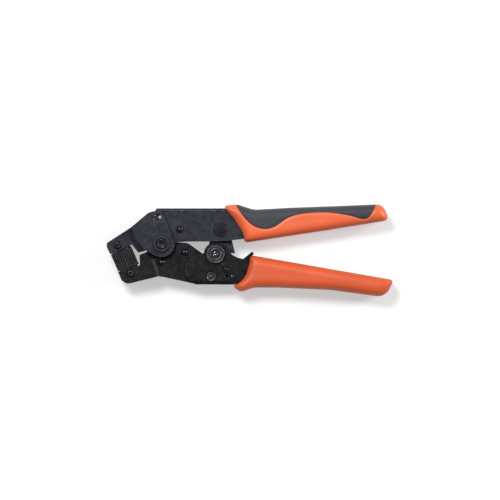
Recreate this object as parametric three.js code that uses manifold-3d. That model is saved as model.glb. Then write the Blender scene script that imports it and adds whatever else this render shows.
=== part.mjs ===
// Ratcheting crimping pliers for 8-way modular plugs, lying flat on one side.
// Millimetres, +Z up. The main pivot axis is x = 0, y = 0 and the rest plane is z = 0.
// +X runs from the main pivot along the handles; the jaws point to -X. Jaws and handles are closed.
import * as THREE from 'three';
import { mergeVertices } from 'three/addons/utils/BufferGeometryUtils.js';
import Module from 'manifold-3d';

const wasm = await Module();
wasm.setup();

// ---------- driving dimensions ----------
const GAP = 0.3; // running clearance between neighbouring pieces
const MID = 10.2; // height of the tool's middle plane
const ARC_STEP = Math.PI / 8; // longest step along a rounded corner
const PIN_SIDES = 16; // facets around a small pin
const BOSS_SIDES = 24; // facets around a large boss
const FAR = 400; // reach of a cutting block that runs past the part
const OVERCUT = 1; // how far a cut starts outside the metal

// half heights of the sheet layers, measured from the middle plane
const LINK_HALF = 2.2;
const INNER_PLATE = [2.5, 4.5];
const WALL = [4.8, 6.6];
const TIP_PLATE = [4.6, 6.6];
const OUTER_PLATE = [6.9, 8.9];
const DIE_HALF = TIP_PLATE[0] - GAP;
const NEST_HALF = 6.2;
const GRIP_HALF = MID;

// pivot and fastener centres
const MAIN = [0, 0];
const LINK_TOP = [41.3, 9.8];
const DIAL = [37.9, -7.1];
const TAIL = [34.8, -22.9];
const PAWL = [45.1, -18.2];
const ANCHOR = [49.6, -22.8];
const CHANNEL_RIVET = [12.7, 10.1];
const LOCATOR = [-4.9, 18.8];
const LIGHT_HOLE = [-1.2, 18.9];
const JAW_RIVETS = [[0, -12.9], [16, -5.9]];
const SPRING_EAR = [39.2, 16.4];
const MARKS = [[43, -10.6], [43, -14]];
const MARK_R = 0.55;
const MARK_DEPTH = 0.4;
const UPPER_SCREW = [-30.8, -1];
const LOWER_SCREW = [-21.8, -20.6];
const SLOT_CENTRE = [-3.4, 18.9];
const SLOT_RADII = [3.7, 2.1];
const SLOT_LEAN = THREE.MathUtils.degToRad(8);
const SPRING_EYE = [43.7, -22.5];

// shaft radii
const MAIN_R = 3.2;
const RIVET_R = 1.5;
const SPACER_R = 2.9;
const LINK_PIN_R = 2.8;
const TAIL_PIN_R = 2.6;
const DIAL_SHAFT_R = 3.4;
const DIAL_LOBE_R = 2.9;
const DIAL_THROW = 0.3;
const PAWL_PIN_R = 1.2;
const ANCHOR_R = 0.8;
const SCREW_R = 1.4;
const SOCKET_R = 1.1;
const LIGHT_HOLE_R = 1.1;
const LOCATOR_R = 1.3;
const EAR_R = 0.7;
const EYE_R = 0.5;

// die set: a turned frame (u along the block, v along the closing stroke)
const DIE_ANGLE = THREE.MathUtils.degToRad(24);
const DIE_CENTRE = [-25.7, -10.8];
const NEST_U = 7.65;
const NEST_V = 6.85;
const NEST_FOOT = [[-32, -19.7], [-15.3, -14.7], [-14, -22], [-32, -26]]; // waste below the nest's rim
const FOOT_U = 6.4; // half width of the nest's foot between the jaw plates
const FOOT_V = -13.5;
const FACE_GAP = 0.1; // between the closed dies
const DIE_FACE = NEST_V + FACE_GAP;
const DIE_U = [-6.6, 7.2];
const DIE_V = 13.6;
const POCKET_U = 4.9;
const POCKET_TOP = 8.9;
const COMB_U = 4.6;
const BAR_U = 3.2;
const PLUG_U = 5.9;
const PLUG_V = 4.4;
const PLUG_STOP = 3.2;
const LATCH_U = 1.8;
const LATCH_V = -6;
const LATCH_TOP = 1;
const CONTACTS = 8;
const CONTACT_PITCH = 1.016;
const BLADE = 0.36;
const BLADE_Z = [-1.6, 2.9];
const BAR_Z = [-3.9, -2.4];
const RIBS = 8;
const RIB_PITCH = 1.72;
const RIB_GROOVE = 0.86;
const RIB_DEPTH = 0.8;
const RIB_FROM = -5.3;
const NOTCH_FROM = 5.6;
const NOTCH_FLOOR = 4;

// ratchet
const SECTOR_R = 8.4;
const TOOTH_DEPTH = 0.8;
const TOOTH_PITCH = THREE.MathUtils.degToRad(6);
const TOOTH_FIRST = THREE.MathUtils.degToRad(-128);
const TEETH = 9;
const TOOTH_WIDTH = 0.4; // share of the pitch on each side of a tooth space
const LINK_EYE_R = 7.8;
const LINK_BUSH_R = 5.2;
const LINK_SLOT_R = DIAL_LOBE_R + DIAL_THROW + GAP;
const SLOT_RUN = 1.6; // how far the dial's lobe may travel in the link
const PAWL_HALF = 1.8;
const PAWL_BUSH_R = 2.6;
const LEVER_Z = [2.1, 3.3];

// sheet folds and grips
const FOLD_RADIUS = 2.2;
const FOLD_STEPS = 3;
const UPPER_FOLD = [25, 1, FOLD_RADIUS, -6, 44]; // outline height, side, radius, start and end along X
const LOWER_FOLD = [-28.5, -1, FOLD_RADIUS, 18, 50];
const CREASE = [[1.2, 43.2], [22.75, 23.45], [WALL[1] - 0.6, FAR]]; // pressed line along the fold
const JAW_STEP = 3.3; // width of the joggle in a jaw plate
const UPPER_STEP = [[-24.8, 9.8], [-17.1, -2.8]]; // line where a joggle starts
const LOWER_STEP = [[-9.4, -7], [-4.5, -22.4]];
const GRIP_ROUND = 2.3;
const GRIP_STEPS = 3;
const NOTCH_HALF = 3.9; // half width of the lever's notch in the lower grip
const INLAY_STEPS = 36;

// heads of pins: radius, seat and height
const HEAD_CHAMFER = 0.3;
const DOME_RIM = 0.35;
const DOME_SHOULDER = [0.65, 1.1]; // share of the radius, height
const DOME_HEIGHT = 1.4;
const RIVET_HEAD_R = 2.2;
const LINK_HEAD = [4.5, OUTER_PLATE[0], 0.6];
const PAWL_HEAD = [1.9, OUTER_PLATE[0], 0.6];
const ANCHOR_HEAD = [1.4, OUTER_PLATE[0], 0.8];

// plain stand-ins for the coil springs: two ends and a radius
const OPENING_SPRING = [[16, 10.9], [32.6, 14.8], 2];
const PAWL_SPRING = [[45.3, -22.5], [48.4, -22.7], 0.9];
const SPRING_SIDES = 12;

// turned profiles: [radius, height above the middle plane]
const WASHER = [3.9, 5.9, OUTER_PLATE[1] + GAP, 9.8];
const PIVOT_END = [[MAIN_R, 9.3], [3.6, 9.8], [3.3, MID], [2.5, MID], [2.2, 9.9], [1.2, 9.9],
  [0.9, 9.6], [0, 9.6]];
const PIVOT_FOOT = [[0, -MID], [3.3, -MID], [3.6, -9.8], [MAIN_R, -9.3]];
const LOCATOR_END = [[LOCATOR_R, 8.3], [1, 8.6], [0, 8.6]];
const SCREW_HEAD = [[SCREW_R, 6.9], [2.5, 6.9], [2.5, 7.4], [2, 7.9], [SOCKET_R, 8.1], [SOCKET_R, 7.3],
  [0, 7.1]];
const SCREW_TIP = [[0, -8.6], [SCREW_R - 0.3, -8.6], [SCREW_R, -8.3]];
const TAIL_HEAD = [[TAIL_PIN_R, 6.9], [3.3, 6.9], [3.3, 7.7], [3.1, 7.9], [2.7, 7.9], [2.4, 7.5],
  [1.1, 7.5], [0.8, 7.8], [0, 7.8]];
const DIAL_PROFILE = [[0, -8.4], [DIAL_SHAFT_R - 0.3, -8.4], [DIAL_SHAFT_R, -8.1], [DIAL_SHAFT_R, -2.6],
  [DIAL_LOBE_R - DIAL_THROW, -2.6], [DIAL_LOBE_R - DIAL_THROW, 2.6], [DIAL_SHAFT_R, 2.6],
  [DIAL_SHAFT_R, 6.9], [6.4, 6.9], [6.4, 8.3], [6.2, 8.5], [5.7, 8.5], [5.4, 8.1], [4.2, 8.1],
  [3.9, 8.6], [3.3, 8.6], [3, 7.7], [1.4, 7.7], [1.4, 5], [0, 5]];
const LOBE_PROFILE = [[0, -3], [DIAL_LOBE_R, -3], [DIAL_LOBE_R, 3], [0, 3]];
const DIAL_NOTCHES = 8;
const NOTCH_RING = 6.9;
const NOTCH_R = 0.7;
const LOCK_SCREW = [[0, 5.4], [1.1, 5.4], [1.1, 8.2], [2.2, 8.2], [2.2, 8.9], [1.7, 9.4], [0, 9.6]];
const DRIVER_SLOT = [3, 0.3, [8.9, FAR]]; // half length, half width and heights
const CLIP = [DIAL_SHAFT_R + GAP, 5.4, -7.8, -OUTER_PLATE[0]];
const NUT_R = 3;
const NUT_BOTTOM = -8.1;

// ---------- outlines: [x, y, corner radius] ----------
const UPPER_JAW = [[-38.7, 0.5, 2.8], [-21.3, 11.7, 6], [-9.1, 22, 2.5], [-4.4, 23.2, 1.2],
  [-3.4, 24.6, 0.6], [0.2, 23.7, 1], [10.9, -2.6, 9.1], [1.1, -11.1, 9.1],
  [-10.8, -4.6, 0.7], [-16.4, -6, 0.7], [-20.9, -0.4, 0.4], [-35.8, -7.2, 0.2], [-38.2, -2.6, 3]];
const LOWER_JAW = [[-30.4, -19.5, 0.3], [-15.2, -15, 0.4], [-15.5, -7.7, 0.7],
  [-10.8, -5.7, 0.7], [-6, -3, 2.5], [-3, 6, 5.5], [7, 6, 5.5], [10.1, 1, 3],
  [18.2, 0.8, 2.8], [29.7, -7.3, 3], [35, -15, 6], [40.2, -18, 5.3], [40.2, -28.1, 5.3],
  [24, -28.1, 3], [2.1, -23.3, 3.5], [-2.1, -22.7, 3.5], [-24.1, -28.1, 5.6], [-27.9, -25.6, 2.1]];
const UPPER_HANDLE = [[-4, 25, 1.1], [44.4, 25, 12], [70, 22.2, 30], [97, 22.6, 30],
  [138, 20.6, 2], [138, 17, 2], [97, 13, 30], [70, 7.6, 20], [57, 3.5, 8], [50, 2.7, 4],
  [32.5, 1.7, 1], [17.1, 1.7, 1], [8, 0.7, 2], [6.6, -6.6, 6.4], [-6.6, -6.6, 6.4], [-8.6, 14, 4],
  [-8.2, 21.2, 1.5], [-4.2, 22.6, 0.8]];
const LOWER_HANDLE = [[29, -6.9, 1.5], [24.8, -8.2, 8], [16.4, -12, 8], [16.6, -22.4, 9],
  [23.4, -28.5, 4], [50, -28.5, 8], [70, -27.4, 20], [110, -28.6, 20], [142, -31.6, 2],
  [142, -28.4, 2], [110, -20.8, 20], [70, -13.6, 20], [64, -11.8, 3], [57, -10.5, 5],
  [52.8, -9.4, 3], [48.6, -7, 3], [46.2, 0.4, 6.4], [34.6, 0.6, 3.2]];
const UPPER_GRIP = [[41.7, 26.8, 2.2], [50.2, 17.3, 12], [55.9, 8.3, 14], [58.4, 0.9, 2.8],
  [89, 5.5, 60], [118, 9.9, 60], [159.4, 16.6, 3], [155.4, 28, 7],
  [130, 26.9, 60], [89, 25.4, 60], [64.6, 24, 18], [53.4, 27.8, 9]];
const LOWER_GRIP = [[62.3, -7.8, 2.6], [90, -11.6, 70], [118, -17.6, 70], [162.9, -25.4, 3],
  [156.8, -37.4, 9], [118, -32.2, 60], [82, -30.6, 60], [65, -30.5, 14],
  [55.6, -33.7, 4], [49.7, -30, 1.8], [58.2, -22.8, 14]];
const INLAY_EDGE = [[50.6, 30.5], [53.6, 24.6], [58.7, 17.7], [64.6, 12.6], [71.8, 10.5], [79.2, 12],
  [88.6, 18.2], [99, 21.2], [116, 22.1], [131, 20], [140, 17.5], [145, 18.6], [149.2, 25], [150.6, 30.5]];

const LEVER_NOTCH = [[56, -3], [67.2, -3], [67.2, -8.4], [64, -15.2], [56, -15.2]];
const LINK_TAB = [[33.5, 8, 1], [33.5, 0, 3], [29.6, -5, 3], [37.9, -7.1, 0], [44.6, -6.4, 1],
  [51.6, -6.5, 0.6], [49.1, 3.5, 1], [49.1, 9.8, 1]];
const UPPER_HOLLOW = [[-30, -30], [-30, 23.2], [45, 23.2], [70, 20.4], [97, 20.8], [139, 18.9],
  [150, 18.9], [150, -30]];
const LOWER_HOLLOW = [[-10, -60], [41, -60], [41, -26.7], [50, -26.7], [70, -25.6], [110, -26.8],
  [150, -30.6], [150, 20], [-10, 20]];
const WINDOW = [[41.9, -24.2, 1.5], [46.7, -24.2, 1.5], [46.7, -20.6, 1.5], [41.9, -20.6, 1.5]];
const PAWL_ARM = [[41.2, -16.2, 0.3], [44.6, -15.4, 1], [47.9, -15.6, 2.6], [47.7, -20.8, 2.6],
  [45.2, -20.9, 0.6], [44.9, -23.8, 0.6], [42.7, -23.8, 1], [42.4, -21.4, 0.8], [43, -19.4, 1.5],
  [40.8, -17.4, 0.4]];
const LEVER = [[42.6, -20, 2.4], [43.4, -15.8, 2.4], [50, -14, 4], [57, -10.6, 1.5], [63.6, -5.2, 0.9],
  [65, -6.8, 0.9], [63.2, -8.6, 1.2], [61.6, -13.6, 3], [52, -17.6, 6], [46.6, -20.9, 2.4]];
const LEVER_TIP = [[61.8, -8, 0.6], [63, -5.6, 0.8], [64.8, -6.4, 0.8], [63.4, -8, 0.6]];

const STEEL = { color: 0x3a3b42, roughness: 0.45, metalness: 0.8 };
const BLACK = { color: 0x26262a, roughness: 0.5, metalness: 0.7 };
const BRIGHT = { color: 0x8e9196, roughness: 0.3, metalness: 0.9 };
const ORANGE = { color: 0xe8653a, roughness: 0.5, metalness: 0 };
const SOFT = { color: 0x42464f, roughness: 0.7, metalness: 0 };

const part = new THREE.Group();
part.name = 'crimping_pliers';

// ---------- helpers ----------
function clean(geometry) {
  const bare = geometry.index ? geometry.toNonIndexed() : geometry.clone();
  bare.deleteAttribute('normal');
  bare.deleteAttribute('uv');
  const welded = mergeVertices(bare, 1e-4);
  const place = welded.attributes.position;
  const corner = [0, 1, 2].map(() => new THREE.Vector3());
  const kept = [];
  let volume = 0;
  for (let at = 0; at < welded.index.count; at += 3) {
    const ids = [0, 1, 2].map((step) => welded.index.getX(at + step));
    if (new Set(ids).size < 3) continue;
    ids.forEach((id, side) => corner[side].fromBufferAttribute(place, id));
    volume += corner[0].dot(corner[1].clone().cross(corner[2]));
    kept.push(...ids);
  }
  if (volume < 0) kept.reverse();
  welded.setIndex(kept);
  return welded;
}

function solid(geometry) {
  const mesh = clean(geometry);
  return new wasm.Manifold(new wasm.Mesh({
    numProp: 3,
    vertProperties: new Float32Array(mesh.attributes.position.array),
    triVerts: new Uint32Array(mesh.index.array),
  }));
}

function geometryOf(body) {
  const mesh = body.getMesh();
  const geometry = new THREE.BufferGeometry();
  geometry.setAttribute('position', new THREE.BufferAttribute(mesh.vertProperties, mesh.numProp));
  geometry.setIndex(new THREE.BufferAttribute(mesh.triVerts, 1));
  return geometry;
}

function addPiece(name, shape, look) {
  const geometry = shape.isBufferGeometry ? clean(shape) : geometryOf(shape);
  geometry.computeVertexNormals();
  const mesh = new THREE.Mesh(geometry, new THREE.MeshStandardMaterial(look));
  mesh.name = name;
  part.add(mesh);
}

// polygon of [x, y, radius] corners with each corner replaced by a tangent arc
function roundedPath(corners) {
  const points = [];
  corners.forEach(([x, y, radius], index) => {
    const here = new THREE.Vector2(x, y);
    const before = corners[(index + corners.length - 1) % corners.length];
    const after = corners[(index + 1) % corners.length];
    const back = new THREE.Vector2(before[0], before[1]).sub(here);
    const ahead = new THREE.Vector2(after[0], after[1]).sub(here);
    const room = Math.min(back.length(), ahead.length()) * 0.49;
    back.normalize();
    ahead.normalize();
    const half = Math.acos(THREE.MathUtils.clamp(back.dot(ahead), -1, 1)) / 2;
    const turn = Math.PI - 2 * half;
    const reach = Math.min(radius / Math.tan(half), room);
    const bend = reach * Math.tan(half);
    const centre = back.clone().add(ahead).normalize().multiplyScalar(bend / Math.sin(half)).add(here);
    const start = here.clone().addScaledVector(back, reach).sub(centre);
    const side = Math.sign(back.cross(ahead));
    const steps = Math.max(1, Math.round(turn / ARC_STEP));
    for (let step = 0; step <= steps; step += 1) {
      const at = start.clone().rotateAround(new THREE.Vector2(), (-side * turn * step) / steps);
      points.push(at.add(centre));
    }
  });
  return points;
}

function holePath([x, y], radius, sides = radius < 2 ? 12 : 18) {
  const hole = new THREE.Path();
  hole.absarc(x, y, radius, 0, Math.PI * 2);
  return new THREE.Path(hole.getSpacedPoints(sides).slice(0, sides));
}

// plate between two heights above the middle plane, with round holes [centre, radius]
function plate(path, low, high, holes = []) {
  const shape = new THREE.Shape(path);
  shape.holes = holes.map(([centre, radius]) => holePath(centre, radius));
  const geometry = new THREE.ExtrudeGeometry(shape, { depth: high - low, bevelEnabled: false });
  return geometry.translate(0, 0, MID + low);
}

function plateSolid(path, low, high, holes) {
  return solid(plate(path, low, high, holes));
}

// turned piece along Z from [radius, height above the middle plane] pairs
function turned([x, y], profile, sides = PIN_SIDES) {
  const points = profile.map(([radius, height]) => new THREE.Vector2(radius, height));
  const geometry = new THREE.LatheGeometry(points, sides);
  return geometry.rotateX(Math.PI / 2).translate(x, y, MID);
}

// box between two corners given in the middle-plane frame
function block(x, y, z) {
  const geometry = new THREE.BoxGeometry(x[1] - x[0], y[1] - y[0], z[1] - z[0]);
  return geometry.translate((x[0] + x[1]) / 2, (y[0] + y[1]) / 2, MID + (z[0] + z[1]) / 2);
}

// box in the die frame: u along the block, v along the stroke
function dieBlock(u, v, z) {
  const geometry = block(u, v, z).rotateZ(DIE_ANGLE);
  return solid(geometry.translate(DIE_CENTRE[0], DIE_CENTRE[1], 0));
}

function pathOf(pairs) {
  return pairs.map(([x, y]) => new THREE.Vector2(x, y));
}

// mirror about the middle plane; used for the rear plates
function mirrored(geometry) {
  const copy = geometry.clone();
  const place = copy.attributes.position;
  for (let at = 0; at < place.count; at += 1) place.setZ(at, 2 * MID - place.getZ(at));
  return copy;
}

// sheet that steps between two levels: `from` left of the band line, `to` right of it
function steppedSheet(lineTop, lineBottom, band, from, to) {
  const down = new THREE.Vector2(lineBottom[0] - lineTop[0], lineBottom[1] - lineTop[1]).normalize();
  const lean = Math.atan2(down.x, -down.y);
  const profile = pathOf([[-FAR, from[0]], [0, from[0]], [band, to[0]], [FAR, to[0]],
    [FAR, to[1]], [band, to[1]], [0, from[1]], [-FAR, from[1]]]);
  const shape = new THREE.Shape(profile);
  const geometry = new THREE.ExtrudeGeometry(shape, { depth: FAR, bevelEnabled: false });
  geometry.translate(0, 0, -FAR / 2).rotateX(Math.PI / 2).rotateZ(lean);
  return solid(geometry.translate(lineTop[0], lineTop[1], MID));
}

// the waste outside a rounded fold that runs along X at height `edge` of the part's outline
function foldWaste(edge, side, radius, x0, x1) {
  const arc = [];
  for (let step = 0; step <= FOLD_STEPS; step += 1) {
    const angle = (Math.PI / 2) * (step / FOLD_STEPS);
    arc.push([WALL[1] - radius + radius * Math.cos(angle), edge - side * radius * (1 - Math.sin(angle))]);
  }
  const corner = [[WALL[1] - radius, edge + side * OVERCUT], [WALL[1] + OVERCUT, edge + side * OVERCUT],
    [WALL[1] + OVERCUT, edge - side * radius]];
  const profile = new THREE.Shape(pathOf([...arc, ...corner]));
  const geometry = new THREE.ExtrudeGeometry(profile, { depth: x1 - x0, bevelEnabled: false });
  const turn = new THREE.Matrix4().set(0, 0, 1, x0, 0, 1, 0, 0, 1, 0, 0, MID, 0, 0, 0, 1);
  return solid(geometry.applyMatrix4(turn));
}

// waste on the front and on the rear edge of a fold
function foldPair(edge, side, radius, x0, x1) {
  const front = foldWaste(edge, side, radius, x0, x1);
  return front.add(solid(mirrored(geometryOf(front))));
}

// path moved outward by `distance` (inward when negative)
function grown(path, distance) {
  const turnSide = THREE.ShapeUtils.isClockWise(path) ? -1 : 1;
  return path.map((point, index) => {
    const before = path[(index + path.length - 1) % path.length];
    const after = path[(index + 1) % path.length];
    const along = after.clone().sub(before).normalize();
    return new THREE.Vector2(along.y, -along.x).multiplyScalar(distance * turnSide).add(point);
  });
}

// headed pin, the same at both ends; `half` runs from the shaft up to the axis
function pin(centre, half, sides) {
  const lower = half.map(([radius, height]) => [radius, -height]).reverse();
  return turned(centre, [...lower, ...half], sides);
}

function domedHead(shaft, radius, seat) {
  const [share, shoulder] = DOME_SHOULDER;
  return [[shaft, seat], [radius, seat], [radius, seat + DOME_RIM],
    [radius * share, seat + shoulder], [0, seat + DOME_HEIGHT]];
}

function flatHead(shaft, radius, seat, height) {
  const top = seat + height;
  return [[shaft, seat], [radius, seat], [radius, top - HEAD_CHAMFER], [radius - HEAD_CHAMFER, top],
    [0, top]];
}

function ring(centre, inner, outer, low, high, sides) {
  return turned(centre, [[inner, low], [outer, low], [outer, high], [inner, high], [inner, low]], sides);
}

// ---------- upper jaw, fixed to the upper handle ----------
function locatorSlot() {
  const [x, y] = SLOT_CENTRE;
  const slot = new THREE.Path();
  slot.absellipse(x, y, ...SLOT_RADII, 0, Math.PI * 2, false, SLOT_LEAN);
  return slot.getSpacedPoints(BOSS_SIDES).slice(0, BOSS_SIDES);
}

function upperJawPlate() {
  const holes = [[MAIN, MAIN_R + GAP], [UPPER_SCREW, SCREW_R + GAP]];
  const blank = plateSolid(roundedPath(UPPER_JAW), TIP_PLATE[0], OUTER_PLATE[1], holes);
  const sheet = steppedSheet(...UPPER_STEP, JAW_STEP, TIP_PLATE, OUTER_PLATE);
  const slot = plateSolid(locatorSlot(), OUTER_PLATE[0] - OVERCUT, OUTER_PLATE[1] + OVERCUT);
  return geometryOf(blank.intersect(sheet).subtract(slot));
}

function upperHandle() {
  const holes = [[MAIN, MAIN_R + GAP], [CHANNEL_RIVET, RIVET_R + GAP], [LINK_TOP, LINK_PIN_R + GAP],
    [LIGHT_HOLE, LIGHT_HOLE_R], [LOCATOR, LOCATOR_R + GAP]];
  const blank = plateSolid(roundedPath(UPPER_HANDLE), -WALL[1], WALL[1], holes);
  const crease = block(...CREASE);
  const body = blank.subtract(plateSolid(pathOf(UPPER_HOLLOW), -WALL[0], WALL[0]));
  return body.subtract(foldPair(...UPPER_FOLD)).subtract(solid(crease));
}

const upperJaw = upperJawPlate();
addPiece('upper_jaw_plate_front', upperJaw, STEEL);
addPiece('upper_jaw_plate_rear', mirrored(upperJaw), STEEL);
addPiece('upper_handle_channel', upperHandle(), STEEL);

// ---------- die set ----------
function screwBore(centre) {
  const bore = SCREW_R + GAP;
  return solid(turned(centre, [[0, -FAR], [bore, -FAR], [bore, FAR], [0, FAR]]));
}

function upperDie() {
  const body = dieBlock(DIE_U, [DIE_FACE, DIE_V], [-DIE_HALF, DIE_HALF]);
  const pocket = dieBlock([-POCKET_U, POCKET_U], [0, POCKET_TOP], [-FAR, PLUG_STOP]);
  return body.subtract(pocket).subtract(screwBore(UPPER_SCREW));
}

function contactComb() {
  let comb = dieBlock([-COMB_U, COMB_U], [DIE_FACE + GAP, POCKET_TOP - GAP], BLADE_Z);
  for (let blade = 0; blade < CONTACTS; blade += 1) {
    const centre = (blade - (CONTACTS - 1) / 2) * CONTACT_PITCH;
    const width = [centre - BLADE / 2, centre + BLADE / 2];
    comb = comb.add(dieBlock(width, [PLUG_V + GAP, DIE_FACE + 2 * GAP], BLADE_Z));
  }
  return comb;
}

function plugNest() {
  let nest = dieBlock([-NEST_U, NEST_U], [-NEST_V, NEST_V], [-NEST_HALF, NEST_HALF]);
  nest = nest.subtract(plateSolid(pathOf(NEST_FOOT), -FAR, FAR));
  nest = nest.add(dieBlock([-FOOT_U, FOOT_U], [FOOT_V, 0], [-DIE_HALF, DIE_HALF]));
  nest = nest.subtract(dieBlock([-PLUG_U, PLUG_U], [-PLUG_V, PLUG_V], [-FAR, PLUG_STOP]));
  nest = nest.subtract(dieBlock([-LATCH_U, LATCH_U], [LATCH_V, 0], [-FAR, LATCH_TOP]));
  nest = nest.subtract(dieBlock([-POCKET_U, POCKET_U], [0, FAR], [-DIE_HALF, PLUG_STOP]));
  for (let rib = 0; rib < RIBS; rib += 1) {
    const centre = (rib - (RIBS - 1) / 2) * RIB_PITCH;
    const width = [centre - RIB_GROOVE / 2, centre + RIB_GROOVE / 2];
    nest = nest.subtract(dieBlock(width, [RIB_FROM, FAR], [NEST_HALF - RIB_DEPTH, FAR]));
    nest = nest.subtract(dieBlock(width, [NOTCH_FROM, FAR], [NOTCH_FLOOR, FAR]));
  }
  return nest.subtract(screwBore(LOWER_SCREW));
}

addPiece('upper_die', upperDie(), BLACK);
addPiece('contact_comb', contactComb(), BRIGHT);
const bar = dieBlock([-BAR_U, BAR_U], [PLUG_V + GAP, POCKET_TOP - GAP], BAR_Z);
addPiece('strain_relief_bar', bar, BRIGHT);
addPiece('plug_nest', plugNest(), BLACK);

function hexPath([x, y], reach) {
  return pathOf([0, 1, 2, 3, 4, 5].map((side) => {
    const angle = (side * Math.PI) / 3;
    return [x + reach * Math.cos(angle), y + reach * Math.sin(angle)];
  }));
}

[['upper', UPPER_SCREW], ['lower', LOWER_SCREW]].forEach(([jaw, centre]) => {
  addPiece(`${jaw}_die_screw`, turned(centre, [...SCREW_TIP, ...SCREW_HEAD]), STEEL);
  const nut = plate(hexPath(centre, NUT_R), NUT_BOTTOM, -OUTER_PLATE[0], [[centre, SCREW_R + GAP]]);
  addPiece(`${jaw}_die_nut`, nut, STEEL);
});

// ---------- lower jaw ----------
function lowerJawPlate() {
  const holes = [[MAIN, MAIN_R + GAP], [LOWER_SCREW, SCREW_R + GAP], [TAIL, TAIL_PIN_R + GAP],
    ...JAW_RIVETS.map((centre) => [centre, RIVET_R + GAP])];
  const blank = plateSolid(roundedPath(LOWER_JAW), INNER_PLATE[0], TIP_PLATE[1], holes);
  const sheet = steppedSheet(...LOWER_STEP, JAW_STEP, TIP_PLATE, INNER_PLATE);
  return geometryOf(blank.intersect(sheet));
}

const lowerJaw = lowerJawPlate();
addPiece('lower_jaw_plate_front', lowerJaw, BLACK);
addPiece('lower_jaw_plate_rear', mirrored(lowerJaw), BLACK);
JAW_RIVETS.forEach((centre, index) => {
  const head = domedHead(RIVET_R, RIVET_HEAD_R, WALL[0]);
  addPiece(`jaw_rivet_${index + 1}`, pin(centre, head), STEEL);
  const spacer = ring(centre, RIVET_R + GAP, SPACER_R, -LINK_HALF, LINK_HALF);
  addPiece(`jaw_spacer_${index + 1}`, spacer, STEEL);
});
addPiece('tail_pin', pin(TAIL, TAIL_HEAD, BOSS_SIDES), STEEL);

// ---------- pins of the upper handle ----------
addPiece('main_pivot_pin', turned(MAIN, [...PIVOT_FOOT, ...PIVOT_END], BOSS_SIDES), STEEL);
const washer = ring(MAIN, ...WASHER, BOSS_SIDES);
addPiece('pivot_washer_front', washer, STEEL);
addPiece('pivot_washer_rear', mirrored(washer), STEEL);
addPiece('locating_pin', pin(LOCATOR, LOCATOR_END), STEEL);
const channelHead = domedHead(RIVET_R, RIVET_HEAD_R, OUTER_PLATE[0]);
addPiece('channel_rivet', pin(CHANNEL_RIVET, channelHead), STEEL);
addPiece('channel_spacer', ring(CHANNEL_RIVET, RIVET_R + GAP, SPACER_R, -INNER_PLATE[1], INNER_PLATE[1]),
  STEEL);
const linkHead = flatHead(LINK_PIN_R, ...LINK_HEAD);
addPiece('link_pivot_pin', pin(LINK_TOP, linkHead, BOSS_SIDES), STEEL);
const linkBush = ring(LINK_TOP, LINK_PIN_R + GAP, LINK_BUSH_R, ...INNER_PLATE);
addPiece('link_bush_front', linkBush, STEEL);
addPiece('link_bush_rear', mirrored(linkBush), STEEL);

// ---------- toggle link with the ratchet sector ----------
function toggleLink() {
  let link = plateSolid(holePath(LINK_TOP, LINK_EYE_R, BOSS_SIDES).getPoints(), -LINK_HALF, LINK_HALF);
  link = link.add(plateSolid(roundedPath(LINK_TAB), -LINK_HALF, LINK_HALF));
  link = link.add(plateSolid(holePath(DIAL, SECTOR_R, 30).getPoints(), -LINK_HALF, LINK_HALF));
  for (let tooth = 0; tooth < TEETH; tooth += 1) {
    const angle = TOOTH_FIRST + tooth * TOOTH_PITCH;
    const spot = ([radius, turn]) => [DIAL[0] + radius * Math.cos(angle + turn),
      DIAL[1] + radius * Math.sin(angle + turn)];
    const outer = SECTOR_R + OVERCUT;
    const half = TOOTH_PITCH * TOOTH_WIDTH;
    const cut = [[SECTOR_R - TOOTH_DEPTH, 0], [outer, -half], [outer, half]];
    link = link.subtract(plateSolid(pathOf(cut.map(spot)), -FAR, FAR));
  }
  const wide = LINK_SLOT_R;
  const top = wide + SLOT_RUN;
  const corners = [[-wide, -wide], [wide, -wide], [wide, top], [-wide, top]];
  const slot = roundedPath(corners.map((corner) => [...corner, wide]));
  const lean = Math.atan2(DIAL[0] - LINK_TOP[0], LINK_TOP[1] - DIAL[1]);
  const turnedSlot = slot.map((at) => at.rotateAround(new THREE.Vector2(), lean).add(
    new THREE.Vector2(...DIAL)));
  link = link.subtract(plateSolid(turnedSlot, -FAR, FAR));
  const bores = [[LINK_TOP, LINK_PIN_R + GAP], [SPRING_EAR, EAR_R]];
  bores.forEach(([centre, radius]) => {
    link = link.subtract(plateSolid(holePath(centre, radius).getPoints(), -FAR, FAR));
  });
  return link;
}
addPiece('toggle_link', toggleLink(), STEEL);

// ---------- opening spring, plain stand-in between the spacer and the link ----------
function springStandIn(from, to, radius) {
  const start = new THREE.Vector3(from[0], from[1], MID);
  const end = new THREE.Vector3(to[0], to[1], MID);
  const axis = end.clone().sub(start);
  const geometry = new THREE.CylinderGeometry(radius, radius, axis.length(), SPRING_SIDES);
  const up = new THREE.Vector3(0, 1, 0);
  const turn = new THREE.Quaternion().setFromUnitVectors(up, axis.clone().normalize());
  return geometry.applyQuaternion(turn).translate(...start.add(end).multiplyScalar(0.5).toArray());
}
addPiece('opening_spring', springStandIn(...OPENING_SPRING), BRIGHT);

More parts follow.
